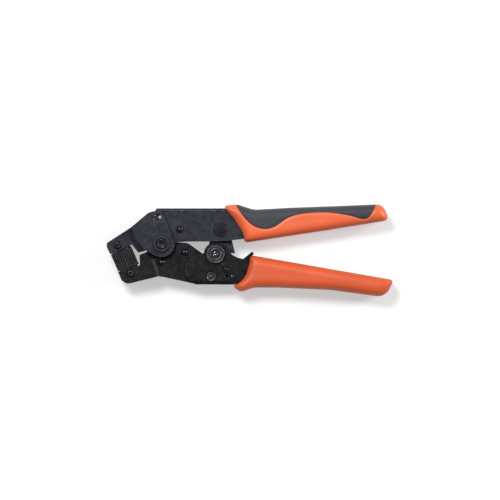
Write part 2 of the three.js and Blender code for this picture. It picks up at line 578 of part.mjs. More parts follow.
// ---------- lower handle ----------
function lowerHandle() {
  const holes = [[TAIL, TAIL_PIN_R + GAP], [DIAL, DIAL_SHAFT_R + GAP], [PAWL, PAWL_PIN_R + GAP],
    [ANCHOR, ANCHOR_R + GAP]];
  const blank = plateSolid(roundedPath(LOWER_HANDLE), -WALL[1], WALL[1], holes);
  let body = blank.subtract(plateSolid(pathOf(LOWER_HOLLOW), -WALL[0], WALL[0]));
  body = body.subtract(plateSolid(roundedPath(WINDOW), 0, FAR));
  MARKS.forEach((centre) => {
    const dimple = holePath(centre, MARK_R, 8).getPoints();
    body = body.subtract(plateSolid(dimple, WALL[1] - MARK_DEPTH, FAR));
  });
  return body.subtract(foldPair(...LOWER_FOLD));
}
addPiece('lower_handle_channel', lowerHandle(), BLACK);
addPiece('pawl_pin', pin(PAWL, flatHead(PAWL_PIN_R, ...PAWL_HEAD)), STEEL);
addPiece('spring_anchor_pin', pin(ANCHOR, flatHead(ANCHOR_R, ...ANCHOR_HEAD)), BRIGHT);

// ---------- pressure adjuster ----------
function adjusterDial() {
  let dial = solid(turned(DIAL, DIAL_PROFILE, BOSS_SIDES));
  dial = dial.add(solid(turned([DIAL[0] + DIAL_THROW, DIAL[1]], LOBE_PROFILE)));
  for (let notch = 0; notch < DIAL_NOTCHES; notch += 1) {
    const angle = (notch / DIAL_NOTCHES) * Math.PI * 2;
    const centre = [DIAL[0] + NOTCH_RING * Math.cos(angle), DIAL[1] + NOTCH_RING * Math.sin(angle)];
    dial = dial.subtract(plateSolid(holePath(centre, NOTCH_R, 6).getPoints(), WALL[1], FAR));
  }
  return dial;
}
addPiece('adjuster_dial', adjusterDial(), BRIGHT);
const [slotLength, slotWidth, slotHeights] = DRIVER_SLOT;
const screwSlot = block([DIAL[0] - slotLength, DIAL[0] + slotLength],
  [DIAL[1] - slotWidth, DIAL[1] + slotWidth], slotHeights);
addPiece('dial_lock_screw', solid(turned(DIAL, LOCK_SCREW)).subtract(solid(screwSlot)), BRIGHT);
addPiece('dial_clip', ring(DIAL, ...CLIP), STEEL);

// ---------- pawl, its release lever and spring ----------
addPiece('ratchet_pawl', plate(roundedPath(PAWL_ARM), -PAWL_HALF, PAWL_HALF,
  [[PAWL, PAWL_PIN_R + GAP], [SPRING_EYE, EYE_R]]), STEEL);
const leverPlate = plateSolid(roundedPath(LEVER), ...LEVER_Z, [[PAWL, PAWL_PIN_R + GAP]]);
const leverTip = plateSolid(roundedPath(LEVER_TIP), -LEVER_Z[1], LEVER_Z[1]);
addPiece('release_lever', leverPlate.add(leverTip), BLACK);
const pawlBush = (z) => ring(PAWL, PAWL_PIN_R + GAP, PAWL_BUSH_R, ...z);
addPiece('pawl_bush_front', pawlBush([LEVER_Z[1] + GAP, INNER_PLATE[1]]), STEEL);
addPiece('pawl_bush_rear', pawlBush([-INNER_PLATE[1], -LEVER_Z[0]]), STEEL);
addPiece('pawl_spring', springStandIn(...PAWL_SPRING), BRIGHT);

// ---------- grips ----------
// slab with rounded edges, built as rings of the outline from the bottom to the top
function gripBlank(corners) {
  const path = roundedPath(corners);
  if (THREE.ShapeUtils.isClockWise(path)) path.reverse();
  const rings = [];
  for (let step = -GRIP_STEPS; step <= GRIP_STEPS; step += 1) {
    const angle = (Math.abs(step) / GRIP_STEPS) * (Math.PI / 2);
    const inset = GRIP_ROUND * (1 - Math.cos(angle));
    const height = GRIP_HALF - GRIP_ROUND + GRIP_ROUND * Math.sin(angle);
    rings.push({ path: grown(path, -inset), height: step < 0 ? -height : height });
  }
  rings.splice(GRIP_STEPS, 1, ...[-1, 1].map((side) => ({ path, height: side * (GRIP_HALF - GRIP_ROUND) })));
  const count = path.length;
  const places = rings.flatMap((level) => level.path.flatMap(({ x, y }) => [x, y, MID + level.height]));
  const faces = [];
  for (let level = 0; level + 1 < rings.length; level += 1) {
    for (let at = 0; at < count; at += 1) {
      const low = level * count + at;
      const next = level * count + ((at + 1) % count);
      faces.push(low, next, next + count, low, next + count, low + count);
    }
  }
  const top = (rings.length - 1) * count;
  THREE.ShapeUtils.triangulateShape(path, []).forEach(([a, b, c]) => {
    faces.push(a, c, b);
    faces.push(top + a, top + b, top + c);
  });
  const geometry = new THREE.BufferGeometry();
  geometry.setAttribute('position', new THREE.Float32BufferAttribute(places, 3));
  geometry.setIndex(faces);
  return solid(geometry);
}

function cavity(corners) {
  return plateSolid(grown(roundedPath(corners), GAP), -WALL[1] - GAP, WALL[1] + GAP);
}

function inlayRegion(shift) {
  const points = INLAY_EDGE.map(([x, y]) => new THREE.Vector3(x, y, 0));
  const curve = new THREE.CatmullRomCurve3(points).getPoints(INLAY_STEPS);
  const path = curve.map(({ x, y }) => new THREE.Vector2(x, y));
  return plateSolid(grown(path, shift), -FAR, FAR);
}

const upperBlank = gripBlank(UPPER_GRIP).subtract(cavity(UPPER_HANDLE));
addPiece('upper_grip', upperBlank.subtract(inlayRegion(GAP / 2)), ORANGE);
addPiece('upper_grip_inlay', upperBlank.intersect(inlayRegion(-GAP / 2)), SOFT);

const leverNotch = plateSolid(pathOf(LEVER_NOTCH), -NOTCH_HALF, NOTCH_HALF);
const lowerGrip = gripBlank(LOWER_GRIP).subtract(cavity(LOWER_HANDLE)).subtract(leverNotch);
addPiece('lower_grip', lowerGrip, ORANGE);

export default part;
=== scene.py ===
"""Looks for ratcheting crimping pliers that lie on their side on a pale table.

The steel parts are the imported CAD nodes, with broken edges and oxide finishes. The moulded grips
and the coil springs are built here, in metres, in the same frame.
"""

import math

import bmesh
import bpy
import numpy as np
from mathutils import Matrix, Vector
from mathutils.geometry import delaunay_2d_cdt


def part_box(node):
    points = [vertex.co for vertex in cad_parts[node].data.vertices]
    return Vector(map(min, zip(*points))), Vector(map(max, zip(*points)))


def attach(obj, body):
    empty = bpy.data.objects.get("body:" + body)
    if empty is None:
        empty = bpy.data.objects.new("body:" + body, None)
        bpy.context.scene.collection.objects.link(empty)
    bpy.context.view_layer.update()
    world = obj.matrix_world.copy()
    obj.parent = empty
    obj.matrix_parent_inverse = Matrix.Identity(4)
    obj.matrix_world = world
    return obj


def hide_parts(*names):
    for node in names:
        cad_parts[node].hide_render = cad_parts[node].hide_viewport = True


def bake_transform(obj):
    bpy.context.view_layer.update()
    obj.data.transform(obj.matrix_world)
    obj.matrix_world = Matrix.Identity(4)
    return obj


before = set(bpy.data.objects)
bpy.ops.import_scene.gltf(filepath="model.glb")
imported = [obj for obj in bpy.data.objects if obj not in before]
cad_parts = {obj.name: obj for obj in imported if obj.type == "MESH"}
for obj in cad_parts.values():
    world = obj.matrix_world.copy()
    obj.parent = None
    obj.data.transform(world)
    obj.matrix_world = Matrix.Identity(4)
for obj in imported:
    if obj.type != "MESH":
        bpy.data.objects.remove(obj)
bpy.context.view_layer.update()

# ---------- sizes, in metres ----------
MM = 0.001
CHANNEL_OUTSIDE = 6.6 * MM  # half the folded channel's width
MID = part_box("upper_handle_channel")[0].z + CHANNEL_OUTSIDE  # middle plane of the pliers
GRIP_HALF = MID  # the grips rest on the table
GRIP_ROUND = 6.2 * MM  # how far the rounding reaches in from the grip's outline
GRIP_RIM = 3.4 * MM  # half height of the straight rim at the mould's parting line
GRIP_RINGS = [d * MM for d in (0.1, 0.3, 0.6, 1, 1.5, 2.1, 2.8, 3.6)]  # rings inside the outline
GRIP_CURVE = (2.1, 2.05)  # powers of the oval rounding, inward and upward
RING_KEPT = 0.93  # a ring's point nearer the outline than this share of its depth is dropped
GRIP_FIELD = 1.1 * MM  # spacing of the points on a grip's side
ROW_SHARE = 0.87  # rows of the field, as a share of its spacing
EASE_STEP = 0.3 * MM  # step along the outline for the eased depth
EASE_FROM = 0.8 * MM  # the eased depth takes over from here
EASE_OVER = 1.6 * MM  # and within this stretch
EDGE_SUM = 3 * math.pi / 8  # what the sum along a straight outline gives at unit depth
OUTLINE_STEP = 0.9 * MM  # spacing of the points along a grip's outline
CHANNEL_HALF = 6.9 * MM  # half width of the hollow for the steel channel
SEAM = 0.04 * MM  # clearance between the grip and its inlay
SEAM_DEPTH = 0.5 * MM  # valley along the seam
SEAM_REACH = 0.55 * MM
SEAM_LINES = (0.15, 0.5, 0.9)  # lines of points beside the seam, in millimetres from it
SEAM_CLEAR = 1.1 * MM  # other points keep this far from the seam
LINE_CLEAR = 0.25 * MM  # the seam's lines keep this far from the outline
CURVE_STEPS = 8  # points between two points of a smooth curve
NOTCH_HALF = 3.9 * MM  # half width of the lever's notch
ARC_STEP = math.radians(5)  # longest step along a rounded corner
ARC_ROOM = 0.49  # share of a side that one corner's arc may use
HOLLOW_STEP = 2 * MM  # spacing of the points along a hollow's outline
SHARP_ANGLE = math.radians(38)  # edges sharper than this are broken and shaded sharp
WELD = 0.002 * MM
SAME_POINT = 1e-9  # points nearer than this are one
TINY_AREA = 1e-12  # keeps a division from zero, in square metres
TINY_LENGTH = 1e-18  # the same for a squared length
BREAK_EDGE = 0.22 * MM  # broken edge of stamped steel
FOLD_EDGE = 0.1 * MM  # broken edge of the folded channel
TURNED_EDGE = 0.12 * MM  # broken edge of dark pins, die screws and the dial
RIVET_EDGE = 0.08 * MM
SCREW_EDGE = 0.1 * MM  # broken edge of the lock screw, the pawl and the spring's pin
DIE_EDGE = 0.1 * MM
BLADE_EDGE = 0.05 * MM  # broken edge of the contact comb and the strain relief bar

# coil springs: coil radius, wire radius, turns
OPENING_COIL = (1.5 * MM, 0.3 * MM, 18)
PAWL_COIL = (0.72 * MM, 0.16 * MM, 7)
OPENING_SEAT = 1.9 * MM  # how far the opening spring's ends lie inside its box
COIL_STEPS = 12  # points in one turn
HOOK_SHARE = 0.12  # share of the spring's length in each hook leg
HOOK_STRAIGHT = 0.6  # share of a hook leg that is straight
WIRE_SIDES = 8

# stage: camera, table and lights, in metres and watts
VIEW_WIDTH = 0.350  # metres across the camera's view at the level of the plates
LENS = 400.0
SENSOR = 36.0
VIEW_CENTRE = (0.062, -0.0042)
TABLE_REACH = 12.0
TABLE_TOP = -0.0002
TABLE_GLOW = 0.45  # the light table's own light
WORLD_LIGHT = 0.26
LIGHT_AIM = (0.06, 0, 0)
# softboxes: place, size, power
KEY_LIGHT = ((-0.3, 0.57, 1.08), (0.42, 0.38), 16.5)
SIDE_LIGHT = ((1.56, 0.46, 0.78), (0.6, 0.6), 24.0)

# grip outlines in millimetres: [x, y, corner radius]
UPPER_GRIP = [(41.7, 26.8, 2.2), (50.2, 17.3, 12), (55.9, 8.3, 14), (58.4, 0.9, 2.8),
              (89, 5.5, 60), (118, 9.9, 60), (159.4, 16.6, 3), (155.4, 28, 7),
              (130, 26.9, 60), (89, 25.4, 60), (64.6, 24, 18), (53.4, 27.8, 9)]
LOWER_GRIP = [(62.3, -7.8, 2), (90, -12.5, 70), (118, -17.4, 70), (163, -25.2, 2),
              (156.8, -37.4, 9), (118, -32.2, 60), (82, -30.6, 60), (65, -30.5, 14),
              (55.6, -33.7, 4), (49.7, -30, 1.8), (58.2, -22.8, 14)]
UPPER_HOLLOW = [(30, 25.3, 1), (44.4, 25.3, 12), (70, 22.5, 30), (97, 22.9, 30), (138.3, 20.9, 2),
                (138.3, 16.7, 2), (97, 12.7, 30), (70, 7.3, 20), (57, 3.2, 8), (50, 2.4, 4), (30, 1.4, 1)]
LOWER_HOLLOW = [(30, -28.8, 1), (50, -28.8, 8), (70, -27.7, 20), (110, -28.9, 20), (142.3, -31.9, 2),
                (142.3, -28.1, 2), (110, -20.5, 20), (70, -13.3, 20), (64, -11.5, 3), (57, -10.2, 5),
                (30, -10, 1)]
LEVER_NOTCH = [(56, -3, 0.2), (67.2, -3, 0.2), (67.2, -8.4, 0.2), (64, -15.2, 0.2),
               (56, -15.2, 0.2)]
INLAY_EDGE = [(50.6, 30.5), (53.6, 24.6), (58.7, 17.7), (64.6, 12.6), (71.8, 10.5), (79.2, 12),
              (88.6, 18.2), (99, 21.2), (116, 22.1), (131, 20), (140, 17.5), (145, 18.6),
              (149.2, 25), (150.6, 30.5)]

# ---------- finishes: which steel each node has ----------
BLUED = ["upper_jaw_plate_front", "upper_jaw_plate_rear", "toggle_link",
         "channel_spacer", "link_bush_front", "link_bush_rear", "pivot_washer_front",
         "pivot_washer_rear"]
BLACKENED = ["lower_jaw_plate_front", "lower_jaw_plate_rear", "lower_handle_channel", "release_lever",
             "jaw_spacer_1", "jaw_spacer_2", "pawl_bush_front", "pawl_bush_rear"]
DARK_PINS = ["main_pivot_pin", "locating_pin", "link_pivot_pin",
             "upper_die_screw", "lower_die_screw", "upper_die_nut", "lower_die_nut", "dial_clip"]
POLISHED_RIVETS = ["channel_rivet", "jaw_rivet_1", "jaw_rivet_2", "pawl_pin"]
DIE_STEEL = ["upper_die", "plug_nest"]
BARE = ["contact_comb", "strain_relief_bar"]
SCREW = ["dial_lock_screw", "ratchet_pawl", "spring_anchor_pin"]
DIAL = ["adjuster_dial", "tail_pin"]


# ---------- node tree helpers ----------
def put(tree, kind, values=None, **settings):
    """Adds a node, sets its own settings and the values of its input sockets."""
    node = tree.nodes.new(kind)
    for key, value in settings.items():
        setattr(node, key, value)
    for key, value in (values or {}).items():
        node.inputs[key].default_value = value
    return node


def wire(tree, start, end):
    tree.links.new(start, end)


def new_group(name, inputs, outputs):
    """An empty shader node group with number inputs and the named outputs."""
    group = bpy.data.node_groups.new(name, "ShaderNodeTree")
    for label, value in inputs:
        socket = group.interface.new_socket(label, in_out="INPUT", socket_type="NodeSocketFloat")
        socket.default_value = value
    for label in outputs:
        group.interface.new_socket(label, in_out="OUTPUT", socket_type="NodeSocketFloat")
    return group, put(group, "NodeGroupInput"), put(group, "NodeGroupOutput")


def place(tree, group, values, seat):
    """Puts a group in a material with its own values, fed by the texture coordinates in seat."""
    node = put(tree, "ShaderNodeGroup", node_tree=group)
    for key, value in values.items():
        node.inputs[key].default_value = value
    wire(tree, seat, node.inputs["Place"])
    return node


def math_node(tree, operation, first, second, clamp=False):
    node = put(tree, "ShaderNodeMath", operation=operation, use_clamp=clamp)
    for socket, value in zip(node.inputs, (first, second)):
        if isinstance(value, (int, float)):
            socket.default_value = value
        else:
            wire(tree, value, socket)
    return node.outputs[0]


def add_place(group):
    group.interface.new_socket("Place", in_out="INPUT", socket_type="NodeSocketVector")


def noise_at(group, place_at, scale, values):
    """Noise over the given place, at a scale that comes from a socket."""
    noise = put(group, "ShaderNodeTexNoise", values)
    wire(group, place_at, noise.inputs["Vector"])
    wire(group, scale, noise.inputs["Scale"])
    return noise.outputs[0]


# ---------- shared effects ----------
EDGE_GAIN = 9.0  # how fast a turned edge becomes bright
SCRATCH_GAIN = 14.0
SCRATCH_STRETCH = (0.03, 1.0, 1.0)
OPEN_SKY = 0.94  # share of open sky above which a surface gets no painted shade
CREASE_SHADE_GAIN = 3.2


def edge_wear_group():
    """Mask of edges rubbed bright: a rounded normal against the true one, broken up by noise."""
    inputs = [("Reach", 0.0004), ("Patch Scale", 400.0), ("Amount", 1.0)]
    group, source, sink = new_group("edge_wear", inputs, ["Mask"])
    add_place(group)
    rounded = put(group, "ShaderNodeBevel", samples=6)
    true = put(group, "ShaderNodeNewGeometry")
    cosine = put(group, "ShaderNodeVectorMath", operation="DOT_PRODUCT")
    wire(group, source.outputs["Reach"], rounded.inputs["Radius"])
    wire(group, rounded.outputs[0], cosine.inputs[0])
    wire(group, true.outputs["Normal"], cosine.inputs[1])
    turned = math_node(group, "SUBTRACT", 1.0, cosine.outputs["Value"])
    steep = math_node(group, "MULTIPLY", turned, EDGE_GAIN, clamp=True)
    noise = noise_at(group, source.outputs["Place"], source.outputs["Patch Scale"],
                     {"Detail": 4.0, "Roughness": 0.6})
    patches = put(group, "ShaderNodeMapRange", {"From Min": 0.4, "From Max": 0.62})
    wire(group, noise, patches.inputs["Value"])
    mask = math_node(group, "MULTIPLY", steep, patches.outputs[0])
    amount = math_node(group, "MULTIPLY", mask, source.outputs["Amount"], clamp=True)
    wire(group, amount, sink.inputs["Mask"])
    return group


def grain_group():
    """Fine all-over grain as a height, with a slow drift of tone."""
    inputs = [("Grain Scale", 2500.0), ("Drift Scale", 60.0)]
    group, source, sink = new_group("grain", inputs, ["Height", "Drift"])
    add_place(group)
    for scale, output, detail in (("Grain Scale", "Height", 3.0), ("Drift Scale", "Drift", 2.0)):
        noise = noise_at(group, source.outputs["Place"], source.outputs[scale],
                         {"Detail": detail, "Roughness": 0.55})
        wire(group, noise, sink.inputs[output])
    return group


def scratch_group():
    """Long faint scratches along X, as left by grinding or by use."""
    group, source, sink = new_group("scratches", [("Scale", 900.0), ("Sparsity", 0.62)], ["Height", "Mask"])
    add_place(group)
    stretch = put(group, "ShaderNodeVectorMath", operation="MULTIPLY")
    stretch.inputs[1].default_value = SCRATCH_STRETCH
    wire(group, source.outputs["Place"], stretch.inputs[0])
    noise = noise_at(group, stretch.outputs[0], source.outputs["Scale"],
                     {"Detail": 5.0, "Roughness": 0.7})
    wire(group, noise, sink.inputs["Height"])
    deep = math_node(group, "SUBTRACT", noise, source.outputs["Sparsity"])
    wire(group, math_node(group, "MULTIPLY", deep, SCRATCH_GAIN, clamp=True), sink.inputs["Mask"])
    return group


def smudge_group():
    """Soft patches of handling and dust, for roughness."""
    group, source, sink = new_group("smudges", [("Scale", 35.0)], ["Mask"])
    add_place(group)
    noise = noise_at(group, source.outputs["Place"], source.outputs["Scale"],
                     {"Detail": 6.0, "Roughness": 0.65, "Distortion": 0.4})
    spread = put(group, "ShaderNodeMapRange", {"From Min": 0.38, "From Max": 0.7})
    wire(group, noise, spread.inputs["Value"])
    wire(group, spread.outputs[0], sink.inputs["Mask"])
    return group


def crease_shade_group():
    """Mask of painted shade in corners and creases, found by ambient occlusion and broken into patches by
    noise.
    """
    group, source, sink = new_group("painted_crease_shade", [("Reach", 0.0016), ("Patch Scale", 260.0)], ["Mask"])
    add_place(group)
    open_sky = put(group, "ShaderNodeAmbientOcclusion", samples=8)
    wire(group, source.outputs["Reach"], open_sky.inputs["Distance"])
    hidden = math_node(group, "SUBTRACT", OPEN_SKY, open_sky.outputs["AO"])
    deep = math_node(group, "MULTIPLY", hidden, CREASE_SHADE_GAIN, clamp=True)
    noise = noise_at(group, source.outputs["Place"], source.outputs["Patch Scale"],
                     {"Detail": 3.0, "Roughness": 0.6})
    patches = put(group, "ShaderNodeMapRange", {"From Min": 0.2, "From Max": 0.5, "To Min": 0.6})
    wire(group, noise, patches.inputs["Value"])
    wire(group, math_node(group, "MULTIPLY", deep, patches.outputs[0]), sink.inputs["Mask"])
    return group


def rim_shade_group():
    """Mask of painted shade that grows toward the parting line of a moulding, where its sides turn under,
    away from the light.
    """
    group, source, sink = new_group("rim", [("Inner", 0.0034), ("Outer", 0.0088)], ["Mask"])
    add_place(group)
    axes = put(group, "ShaderNodeSeparateXYZ")
    wire(group, source.outputs["Place"], axes.inputs[0])
    height = math_node(group, "ABSOLUTE", math_node(group, "SUBTRACT", axes.outputs["Z"], MID), 0.0)
    fade = put(group, "ShaderNodeMapRange", {"To Min": 1.0, "To Max": 0.0}, interpolation_type="SMOOTHSTEP")
    wire(group, height, fade.inputs["Value"])
    wire(group, source.outputs["Inner"], fade.inputs["From Min"])
    wire(group, source.outputs["Outer"], fade.inputs["From Max"])
    wire(group, fade.outputs[0], sink.inputs["Mask"])
    return group


EDGE_WEAR = edge_wear_group()
CREASE_SHADE = crease_shade_group()
RIM_SHADE = rim_shade_group()
GRAIN = grain_group()
SCRATCHES = scratch_group()
SMUDGES = smudge_group()


# ---------- materials ----------
MOTTLE = 0.4  # share of the small blotches in a steel's tone
SLOW_TONE = 0.2  # share of its slow drift
SCRATCH_SHINE = 0.18  # how bright the faint scratches are
CREASE_SHADE_TONE = 0.2  # painted shade in corners, as a share of the steel's dark tone
SMUDGE_ROUGH = 0.16  # added to a steel's roughness by smudges
RUBBED_SMOOTH = -0.12  # and by rubbing
STEEL_BUMP = (0.12, 0.00004)  # strength, and depth in metres
RIM_SHADE_SHARE = 0.5  # how much painted shade a moulding's sides take toward the parting line
RIM_SHADE_TONE = 0.4  # tone of that painted shade, as a share of the plastic's dark tone
HANDLED_ROUGH = 0.14  # added to a plastic's roughness by handling
MOULD_DEPTH = 0.00008  # depth of a moulding's grain in metres
TABLE_TONES = ((0.47, 0.475, 0.48), (0.49, 0.495, 0.5))


def blank_material(name):
    """A material with a Principled shader, and the object coordinates that its effects use."""
    material = bpy.data.materials.new(name)
    material.use_nodes = True
    tree = material.node_tree
    tree.nodes.clear()
    shader = put(tree, "ShaderNodeBsdfPrincipled")
    out = put(tree, "ShaderNodeOutputMaterial")
    wire(tree, shader.outputs[0], out.inputs["Surface"])
    seat = put(tree, "ShaderNodeTexCoord").outputs["Object"]
    return material, tree, shader, seat


def blend_colours(tree, factor, first, second):
    """Mix of two colours; each is a colour value or a socket."""
    mix = put(tree, "ShaderNodeMix", data_type="RGBA")
    wire(tree, factor, mix.inputs["Factor"])
    for socket, value in ((mix.inputs[6], first), (mix.inputs[7], second)):
        if isinstance(value, tuple):
            socket.default_value = (*value, 1.0)
        else:
            wire(tree, value, socket)
    return mix.outputs[2]


def steel(name, dark, light, bright, rough, metal, wear, shine=0.5, crease_shading=0.85, grain_scale=2600.0):
    """Oxide-finished or bare steel: a drifting tone, fine grain, scratches, edges rubbed bright and painted
    shade in corners and creases.
    """
    material, tree, shader, seat = blank_material(name)
    shader.inputs["Specular IOR Level"].default_value = shine
    grain = place(tree, GRAIN, {"Grain Scale": grain_scale, "Drift Scale": 90.0}, seat)
    worn = place(tree, EDGE_WEAR, {"Reach": 0.00035, "Patch Scale": 700.0, "Amount": wear}, seat)
    scratches = place(tree, SCRATCHES, {"Scale": 700.0, "Sparsity": 0.66}, seat)
    smudges = place(tree, SMUDGES, {"Scale": 70.0}, seat)
    mottle = place(tree, GRAIN, {"Grain Scale": 650.0, "Drift Scale": 240.0}, seat)
    both = math_node(tree, "ADD", mottle.outputs["Height"], mottle.outputs["Drift"])
    blotches = math_node(tree, "MULTIPLY", both, MOTTLE)
    slow = math_node(tree, "MULTIPLY", grain.outputs["Drift"], SLOW_TONE)
    uneven_tone = math_node(tree, "ADD", blotches, slow)
    drift = put(tree, "ShaderNodeMapRange", {"From Min": 0.38, "From Max": 0.62})
    wire(tree, uneven_tone, drift.inputs["Value"])
    tone = blend_colours(tree, drift.outputs[0], dark, light)
    faint = math_node(tree, "MULTIPLY", scratches.outputs["Mask"], SCRATCH_SHINE)
    # painted shade: corners and creases found by ambient occlusion are darkened and kept from the
    # rubbed-bright wear
    painted_crease_shade = place(tree, CREASE_SHADE, {}, seat)
    painted_shade = math_node(tree, "MULTIPLY", painted_crease_shade.outputs["Mask"], crease_shading)
    unshaded = math_node(tree, "SUBTRACT", 1.0, painted_shade)
    rubbed = math_node(tree, "MULTIPLY", math_node(tree, "MAXIMUM", worn.outputs["Mask"], faint), unshaded)
    tone = blend_colours(tree, painted_shade, tone, tuple(channel * CREASE_SHADE_TONE for channel in dark))
    wire(tree, blend_colours(tree, rubbed, tone, bright), shader.inputs["Base Color"])
    wire(tree, math_node(tree, "MAXIMUM", rubbed, metal), shader.inputs["Metallic"])
    uneven = math_node(tree, "MULTIPLY", smudges.outputs["Mask"], SMUDGE_ROUGH)
    roughness = math_node(tree, "ADD", uneven, rough)
    softer = math_node(tree, "MULTIPLY", rubbed, RUBBED_SMOOTH)
    wire(tree, math_node(tree, "ADD", roughness, softer, clamp=True), shader.inputs["Roughness"])
    add_bump(tree, shader, grain.outputs["Height"], *STEEL_BUMP)
    return material


def add_bump(tree, shader, height, strength, distance):
    bump = put(tree, "ShaderNodeBump", {"Strength": strength, "Distance": distance})
    wire(tree, height, bump.inputs["Height"])
    wire(tree, bump.outputs[0], shader.inputs["Normal"])


def moulded(name, dark, light, rough, grain_scale, bump, sheen=0.0, coat=0.0):
    """Moulded plastic: eroded-mould grain, a slow drift of tone, handling smudges and painted shade toward
    the parting line.
    """
    material, tree, shader, seat = blank_material(name)
    shader.inputs["Specular IOR Level"].default_value = 0.4
    shader.inputs["Sheen Weight"].default_value = sheen
    shader.inputs["Sheen Roughness"].default_value = 0.5
    shader.inputs["Coat Weight"].default_value = coat
    shader.inputs["Coat Roughness"].default_value = 0.35
    grain = place(tree, GRAIN, {"Grain Scale": grain_scale, "Drift Scale": 28.0}, seat)
    smudges = place(tree, SMUDGES, {"Scale": 45.0}, seat)
    drift = put(tree, "ShaderNodeMapRange", {"From Min": 0.3, "From Max": 0.7})
    wire(tree, grain.outputs["Drift"], drift.inputs["Value"])
    # painted shade: the sides darken toward the parting line, as if turned away from the light
    rim = place(tree, RIM_SHADE, {}, seat)
    painted_shade = math_node(tree, "MULTIPLY", rim.outputs["Mask"], RIM_SHADE_SHARE)
    shaded = tuple(channel * RIM_SHADE_TONE for channel in dark)
    unshaded_tone = blend_colours(tree, drift.outputs[0], dark, light)
    wire(tree, blend_colours(tree, painted_shade, unshaded_tone, shaded), shader.inputs["Base Color"])
    uneven = math_node(tree, "MULTIPLY", smudges.outputs["Mask"], HANDLED_ROUGH)
    wire(tree, math_node(tree, "ADD", uneven, rough, clamp=True), shader.inputs["Roughness"])
    add_bump(tree, shader, grain.outputs["Height"], bump, MOULD_DEPTH)
    return material


def table_top():
    """Matt white light table with a barely uneven tone."""
    material, tree, shader, seat = blank_material("white_table")
    shader.inputs["Specular IOR Level"].default_value = 0.1
    shader.inputs["Roughness"].default_value = 0.9
    shader.inputs["Emission Color"].default_value = (1, 1, 1, 1)
    shader.inputs["Emission Strength"].default_value = TABLE_GLOW
    smudges = place(tree, SMUDGES, {"Scale": 3.0}, seat)
    wire(tree, blend_colours(tree, smudges.outputs["Mask"], *TABLE_TONES), shader.inputs["Base Color"])
    return material


BLUED_STEEL = steel("blued_steel", (0.0185, 0.0195, 0.0265), (0.038, 0.0395, 0.0495),
                    (0.3, 0.31, 0.34), rough=0.42, metal=0.8, wear=0.45, shine=0.2)
BLACKENED_STEEL = steel("blackened_steel", (0.007, 0.007, 0.0078), (0.021, 0.021, 0.023),
                        (0.24, 0.24, 0.25), rough=0.44, metal=0.75, wear=0.8, shine=0.12)
PIN_STEEL = steel("pin_steel", (0.012, 0.013, 0.016), (0.026, 0.027, 0.032),
                  (0.4, 0.41, 0.44), rough=0.36, metal=0.8, wear=1.0, shine=0.2)
RIVET_STEEL = steel("rivet_steel", (0.022, 0.022, 0.025), (0.034, 0.034, 0.038),
                    (0.5, 0.51, 0.54), rough=0.2, metal=0.9, wear=0.9)
TOOL_STEEL = steel("tool_steel", (0.012, 0.0125, 0.0145), (0.026, 0.027, 0.03),
                   (0.26, 0.26, 0.28), rough=0.38, metal=0.75, wear=0.6, shine=0.2, crease_shading=0.6,
                   grain_scale=1800.0)
BARE_STEEL = steel("bare_steel", (0.42, 0.43, 0.46), (0.55, 0.56, 0.59),
                   (0.75, 0.76, 0.78), rough=0.26, metal=0.95, wear=0.5)
SCREW_STEEL = steel("screw_steel", (0.07, 0.072, 0.078), (0.12, 0.122, 0.13),
                    (0.7, 0.71, 0.74), rough=0.22, metal=0.9, wear=1.2, crease_shading=0.3)
DIAL_STEEL = steel("dial_steel", (0.016, 0.016, 0.018), (0.036, 0.036, 0.04),
                   (0.7, 0.71, 0.74), rough=0.3, metal=0.6, wear=1.6, crease_shading=0.7)
ORANGE_PLASTIC = moulded("orange_plastic", (0.56, 0.092, 0.026), (0.64, 0.11, 0.034),
                         rough=0.42, grain_scale=2200.0, bump=0.3, coat=0.06)
DEEP_ORANGE = moulded("deep_orange_plastic", (0.48, 0.066, 0.016), (0.55, 0.08, 0.022),
                      rough=0.42, grain_scale=2200.0, bump=0.3, coat=0.06)
SOFT_INLAY = moulded("soft_inlay", (0.016, 0.018, 0.024), (0.025, 0.0285, 0.036),
                     rough=0.58, grain_scale=3200.0, bump=0.5, sheen=0.1)


# ---------- steel parts from the frame ----------
def dress(nodes, material, broken=BREAK_EDGE):
    """Gives CAD nodes their steel, smooth round faces and broken edges."""
    for name in nodes:
        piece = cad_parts[name]
        mesh = piece.data
        if "custom_normal" in mesh.attributes:
            mesh.attributes.remove(mesh.attributes["custom_normal"])
        mesh.materials.clear()
        mesh.materials.append(material)
        weld = piece.modifiers.new("weld", "WELD")
        weld.merge_threshold = WELD
        bevel = piece.modifiers.new("broken_edge", "BEVEL")
        bevel.width = broken
        bevel.segments = 2
        bevel.limit_method = "ANGLE"
        bevel.angle_limit = SHARP_ANGLE
        mesh.shade_smooth()
        even = piece.modifiers.new("flat_faces", "WEIGHTED_NORMAL")
        even.keep_sharp = True


